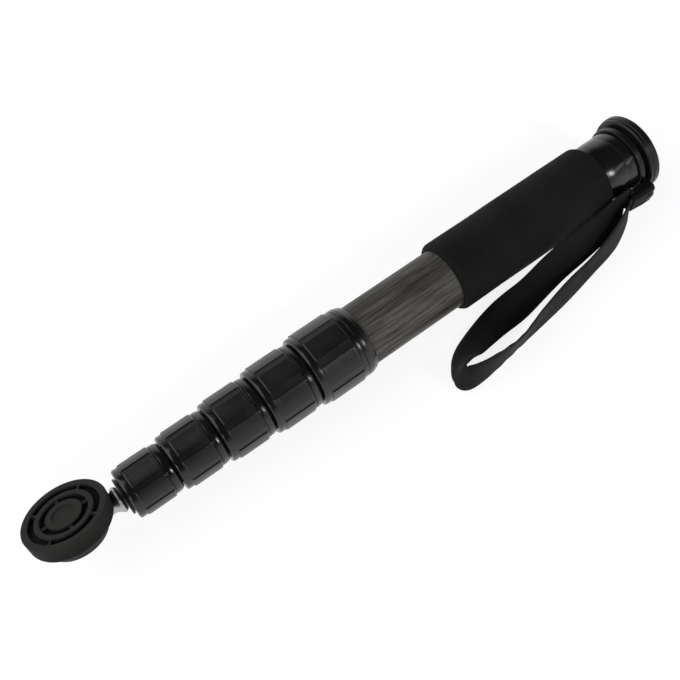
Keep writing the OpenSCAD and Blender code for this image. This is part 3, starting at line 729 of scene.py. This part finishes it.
# %% Lock sleeves
def sleeve_surface(top, end, radius, inside, pitch=0.95, slant=np.radians(38)):
    """Outer radius: a panel goes about a third of the way from the circle R to its chord, which is
    R cos(wide) / cos(phi). phi is the angle from the panel's middle. A strip is lower. Ribs are a cosine on
    slanted lines and fade out before the panel's edges."""
    strip_low, rib_half, bevel_long, flatness = 0.55, 0.027, 1.3, 0.35
    wide, half, soft = np.radians(16.2), np.radians(22.5), np.radians(0.75)
    side_gap, side_fade = np.radians(1.6), np.radians(0.5)
    end_gap, end_fade = 1.6, 0.4
    sector = np.concatenate([np.linspace(-wide + soft, wide - soft, 56),
                             wide + soft * np.linspace(-0.8, 1, 7),
                             np.linspace(wide + 2 * soft, 2 * half - wide - 2 * soft, 8),
                             2 * half - wide + soft * np.linspace(-1, 0.8, 7)])
    a = (np.arange(8)[:, None] * 2 * half + sector).ravel()
    phi = (a + half) % (2 * half) - half
    u = np.concatenate([top + np.linspace(0, bevel_long, 7),
                        np.linspace(top + bevel_long, end - bevel_long, 92)[1:-1],
                        end - np.linspace(bevel_long, 0, 7)])[:, None]
    panel = radius * (1 - flatness * (1 - np.cos(wide) / np.cos(phi)))
    strip = (radius - strip_low) * np.cos(half - wide) / np.cos(np.abs(phi) - half)
    raised = np.clip((wide + soft / 2 - np.abs(phi)) / soft, 0, 1)
    raised = raised**2 * (3 - 2 * raised)
    ribs = np.cos(2 * np.pi * (u * np.sin(slant) + phi * radius * np.cos(slant)) / pitch)
    inner = np.clip((wide - side_gap - np.abs(phi)) / side_fade, 0, 1)
    inner = inner * np.clip((u - top - end_gap) / end_fade, 0, 1)
    inner = inner * np.clip((end - end_gap - u) / end_fade, 0, 1)
    r = strip + (panel - strip) * raised - rib_half * inner * (1 + ribs)
    bevel = radius - strip_low + np.minimum(u - top, end - u)
    r = np.minimum(r, bevel)
    points = np.stack(np.broadcast_arrays(-u, r * np.sin(a), r * np.cos(a)), -1)
    wall = [np.stack(np.broadcast_arrays(-x, inside * np.sin(a), inside * np.cos(a)), -1)[None]
            for x in (end, top)]
    return np.concatenate([points, *wall])


proud, sunk = 0.65, 0.37
for i in range(1, 6):
    top, end, _ = reach_of(f"ring_grip_{i}")
    nut_r = reach_of(f"twist_ring_{i}")[2]
    points = sleeve_surface(top, end, nut_r + proud, nut_r - sunk)
    stands_for(make_piece(f"lock_sleeve_{i}", points, True, crease=40), f"ring_grip_{i}", sleeve_rubber)

# %% [markdown]
# ## Tip and steel stud
# An anodised plug closes the last tube. The foot hangs on a steel stud: a rounded bulb, a slim neck and
# a ball. A sphere pushed on a cylinder would leave a crease between bulb and neck, so the bulb is a bell
# curve on a slowly tapering neck.
# The stud is one profile from axis to axis, so its ends close in a point.

# %% Tip and stud
top, end, _ = reach_of("tip_cap")
step, lip = 313.76, 314.43
turned("end_plug", [
    (top, 3.7, 0.1), (top, 6.77, 0.3), (step, 6.77, 0.1), (step, 8.3, 0.1), (lip, 8.3, 0.1),
    (lip, 9.3, 0.2), (end, 9.3, 0.3), (end, 3.7, 0.1)], "tip_cap", anodised_satin)
clip_top = reach_of("stud_clip")[0] - fit
stud_top = reach_of("ball_stud")[0]
ball_at, ball_r, neck_r = 340.63, 6.8, 4.1
bulb_at, bulb_high, bulb_wide, bulb_end = 317.6, 2.25, 2.1, 318.83
u = np.concatenate([np.linspace(bulb_end - 3, bulb_end + 4, 36), [bulb_end + 9, bulb_end + 16.37]])
taper_high, taper_end, taper_long = 0.25, 335, 16
taper = taper_high * np.clip((taper_end - u) / taper_long, 0, 1)
bulb = np.stack([u, neck_r + taper + bulb_high * np.exp(-((u - bulb_at) / bulb_wide) ** 2)], -1)
q = np.linspace(-np.arcsin(np.sqrt(1 - (neck_r / ball_r) ** 2)), np.pi / 2, 40)
ball = np.stack([ball_at + ball_r * np.sin(q), ball_r * np.cos(q)], -1)
shank = soften([(stud_top, 0, 0), (stud_top, 3.6, 0.3), (clip_top, 3.6, 0.05), (clip_top, 3.1, 0.05),
                (clip_top + 1, 3.1, 0.05), (clip_top + 1, 3.6, 0.05), (bulb_end - 3, 3.6, 0)])
profile = np.concatenate([shank, bulb, ball])
stands_for(make_piece("steel_stud", turn(profile, 128), crease=50), "ball_stud", polished)

# %% [markdown]
# ## Sole
# The sole has two ring grooves, broken by short bridges, and a shallow dish in the middle. They could be
# cut out with booleans, but a height that depends on radius and angle keeps the sole one clean sheet.

# %% Sole
sole_at, groove_deep, dish_deep, rim_round = 11, 2.2, 0.7, 0.8
inner_groove, outer_groove = (8.9, 11.7), (14.4, 17.3)
inner_fill, outer_fill = 0.6, 0.75
dish_r, rim_at, soft_wall = 5.7, 20.0, 0.3


def near_bridge(a, r, turns_at, width):
    """1 on a bar of the given width across a groove, at any of the turns, with soft sides."""
    away = np.abs((a[..., None] - np.radians(turns_at) + np.pi) % (2 * np.pi) - np.pi)
    across = np.where(away < np.pi / 2, r[..., None] * np.sin(np.minimum(away, np.pi / 2)), 99)
    return np.clip((width / 2 + soft_wall / 2 - across.min(-1)) / soft_wall, 0, 1)


def groove(r, low, high):
    """1 between two radii, with soft walls."""
    return np.clip(np.minimum(r - low, high - r) / soft_wall + 0.5, 0, 1)


def sole_height(r, a):
    """The sole's height, less the grooves, which bridges fill in part, the dish and a round at the rim."""
    inner = groove(r, *inner_groove) * (1 - inner_fill * near_bridge(a, r, (0, 90, 180, 270), width=1.8))
    outer = groove(r, *outer_groove) * (1 - outer_fill * near_bridge(a, r, (45, 135, 225, 315), width=1.4))
    dish = dish_deep * np.clip((dish_r - r) / soft_wall + 0.5, 0, 1)
    rim = rim_round - np.sqrt(np.maximum(0, rim_round**2 - np.maximum(0, r - rim_at) ** 2))
    return sole_at - groove_deep * np.maximum(inner, outer) - dish - rim


# Rows crowd where a groove or the rim starts: each stretch is from, to and its number of rows.
stretches = [(0, 5.2, 6), (5.4, 6.0, 6), (6.4, 8.4, 4), (8.7, 9.1, 6), (9.5, 11.1, 4), (11.5, 11.9, 6),
             (12.3, 13.9, 4), (14.2, 14.6, 6), (15, 16.7, 4), (17.1, 17.5, 6), (17.9, 19.8, 5),
             (20, 20.8, 9)]
sole_r = np.concatenate([np.linspace(*stretch) for stretch in stretches])
print("sole in", len(sole_r), "rows")

# %% [markdown]
# ## Rubber foot
# The big foot is folded against the leg and shows its sole. A notch in its side lets the steel neck lie in
# it. Instead of cutting the notch out afterwards, the columns inside it follow another profile than the
# wall's columns, so the foot stays one closed grid. It is made upright and then turned by its lean.

# %% Rubber foot
lean = np.radians(32)
foot_x = np.array([1.0, 0, 0])
foot_y = np.array([0, np.cos(lean), -np.sin(lean)])
foot_z = np.array([0, np.sin(lean), np.cos(lean)])


def foot_surface(slot=5.6):
    """Rows run from the sole's middle to its rim, down the wall and up the bore. Slot columns lie at
    y = slot times a share from -1 to 1, wall columns share out the rest of the angle. Both kinds meet at
    the slot's sides. The mark rises with the height: on the sole it is 1 on the worn lands and 0 down in
    the grooves, where it gives a painted shade, and on the wall it falls to a half towards the bottom."""
    sole_from, sole_over, wall_from, wall_over, hold_r = 9.3, 0.9, 6.8, 3.4, 12
    inside, outside = np.linspace(-1, 1, 61), np.linspace(0, 1, 560)
    bore = [(12.53, 7.23, 0.05), (7.53, 7.23, 0.05), (7.53, 9.7, 0.05), (0, 9.7, 0)]
    wall_profile = soften([(20.8, 10.2, 0), (20.5, 3, 1.2), (15.3, -3, 0.6), (14.5, -4.4, 0.35),
                           (12.53, -4.4, 0.2), *bore], 6)
    slot_profile = soften([(20.8, 10.2, 0), (20.65, 6.2, 0.4), (20.3, 5.62, 0.3), (14.5, 5.6, 0.2),
                           (12.6, 5.6, 0.05), *bore], 6)

    def place(r, z, share, notch):
        """The angle is arcsin(slot share / r) in the slot; inside hold_r it stays what it is there."""
        reach = np.maximum(r, hold_r)
        bound = np.arcsin(slot / reach)
        a = np.arcsin(slot * share / reach) if notch else bound + 2 * share * (np.pi - bound)
        return np.stack(np.broadcast_arrays(r * np.cos(a), r * np.sin(a), z), -1)

    parts, wear_and_shade_parts = [], []
    for share, profile, notch in ((inside, slot_profile, True), (outside, wall_profile, False)):
        r = sole_r[:, None] * np.ones_like(share)
        flat = place(r, 0 * r, share, notch)
        z = sole_height(r, np.arctan2(flat[..., 1], flat[..., 0]))
        wall_r, wall_z = profile[:, :1] * np.ones_like(share), profile[:, 1:] * np.ones_like(share)
        below = place(wall_r, wall_z, share, notch)
        parts.append(np.concatenate([np.concatenate([flat[..., :2], z[..., None]], -1), below]))
        # On the wall the mark falls to a half towards the bottom; on the sole it is 1 on the worn lands and
        # 0 in the grooves, which the finish paints with shade.
        wall_tone = np.clip((below[..., 2] - wall_from) / wall_over, 0.5, 1)
        wear_and_shade_parts.append(np.concatenate([np.clip((z - sole_from) / sole_over, 0, 1), wall_tone]))
    local, wear_and_shade = np.concatenate(parts, 1), np.concatenate(wear_and_shade_parts, 1)
    marks = np.repeat(wear_and_shade[..., None], 3, -1)
    return np.array([-ball_at, 0, 0]) + local @ np.stack([foot_x, foot_y, foot_z]), marks


points, marks = foot_surface()
stands_for(make_piece("rubber_foot", points, crease=40, marks=marks), "foot_pad", foot_rubber)

# %% [markdown]
# ## Pieces that stay as CAD
# Collets, guide shims, the ball's seat and socket, the clip and the grub screw sit inside the head, the leg
# or the foot. They could be modelled again, but their solids have the right shape already, so they only get
# their finish.

# %% Finishes on CAD nodes
inner_finish = {"nylon": nylon, "steel": steel, "anodised": anodised_satin}
left = [n for n, o in frame["nodes"].items() if not o.hide_render]
for name in left:
    held = frame["nodes"][name].data.materials
    held.clear()
    held.append(inner_finish[slot_of[name]])
print("kept as CAD:", left)

# %% [markdown]
# ## Floor
# The photograph has a plain white ground. More light could whiten it, but would wash out the leg. The floor
# is a pale matte sheet that lies just under the platform's rim. For the camera and for reflections it also
# glows, so that it reads as white, while its own shading still carries the soft shadow. The lamps fade with
# distance, so the glow rises away from the leg, and the floor meets the white room with hardly an edge.

# %% Floor
floor_gap, edge = 0.0001, 12.0
floor_z = cad_box[0][2] - floor_gap
mesh = bpy.data.meshes.new("floor")
corners = [(-edge, -edge, floor_z), (edge, -edge, floor_z), (edge, edge, floor_z), (-edge, edge, floor_z)]
mesh.from_pydata(corners, [], [(0, 1, 2, 3)])
floor = bpy.data.objects.new("floor", mesh)
scene.collection.objects.link(floor)
paper = bpy.data.materials.new("white_ground")
paper.use_nodes = True
tree = paper.node_tree
tree.nodes.remove(tree.nodes["Principled BSDF"])
rays = node(tree, "LightPath").outputs
mirrored = math(tree, "ADD", rays["Is Glossy Ray"], rays["Is Transmission Ray"])
seen = math(tree, "ADD", rays["Is Camera Ray"], mirrored)
spot = node(tree, "TexCoord").outputs["Object"]
away = node(tree, "VectorMath", {0: spot}, operation="LENGTH").outputs["Value"]
rise = {"Value": away, "From Min": 0.5, "From Max": 2.5, "To Min": 0.85, "To Max": 0.96}
level = node(tree, "MapRange", rise, interpolation_type="SMOOTHSTEP").outputs[0]
glow = node(tree, "Emission", {"Color": (1, 1, 1, 1), "Strength": math(tree, "MULTIPLY", seen, level)})
matte = node(tree, "BsdfDiffuse", {"Color": (0.26, 0.26, 0.26, 1)})
both = node(tree, "AddShader", {0: glow.outputs[0], 1: matte.outputs[0]})
tree.links.new(both.outputs[0], tree.nodes["Material Output"].inputs["Surface"])
mesh.materials.append(paper)
print("floor at", round(floor_z * 1000, 2), "mm")

# %% [markdown]
# ## Light
# A picture of a studio could light the scene, but a plain room and a few lamps can be set one by one.
# The room is white near the horizon and darker overhead, so black pieces stay black where they face up and
# get pale edges where they face the walls. A broad soft panel stands off the foot's end, where no ring or
# tube can mirror it into the camera. Two compact lamps give the short bright spots: one at the head's side
# for the upper shoulders of the rings, one at the foot's side for their lower lips. A dim strip lays a
# faint streak along the neck.

# %% Light
world = bpy.data.worlds.new("studio")
scene.world = world
world.use_nodes = True
tree = world.node_tree
up = node(tree, "SeparateXYZ", {0: node(tree, "TexCoord").outputs["Generated"]}).outputs[2]
fade = {"Value": up, "From Min": 0.12, "From Max": 0.6, "To Min": 1.0, "To Max": 0.05}
wall = node(tree, "MapRange", fade, interpolation_type="SMOOTHSTEP").outputs[0]
tree.nodes["Background"].inputs["Color"].default_value = (1, 1, 1, 1)
tree.links.new(wall, tree.nodes["Background"].inputs["Strength"])


def soft_lamp(name, place, target, size, watts):
    """A rectangular area lamp at place that faces target."""
    lamp = bpy.data.lights.new(name, "AREA")
    lamp.shape = "RECTANGLE"
    lamp.size, lamp.size_y = size
    lamp.energy = watts
    made = bpy.data.objects.new(name, lamp)
    made.location = place
    made.rotation_euler = (Vector(target) - Vector(place)).to_track_quat("-Z", "Y").to_euler()
    scene.collection.objects.link(made)


middle = (-0.18, 0, 0)
soft_lamp("foot_panel", (-1.05, 0.55, 1.05), middle, size=(1.6, 1.6), watts=13)
soft_lamp("head_lamp", (0.2, -0.62, 0.59), middle, size=(0.07, 0.2), watts=1.7)
soft_lamp("lip_lamp", (-0.9, -0.6, 0.6), middle, size=(0.1, 0.2), watts=1.0)
soft_lamp("streak_lamp", (0.5, -0.63, 0.59), middle, size=(0.3, 0.08), watts=0.25)
print("four lamps and the room")
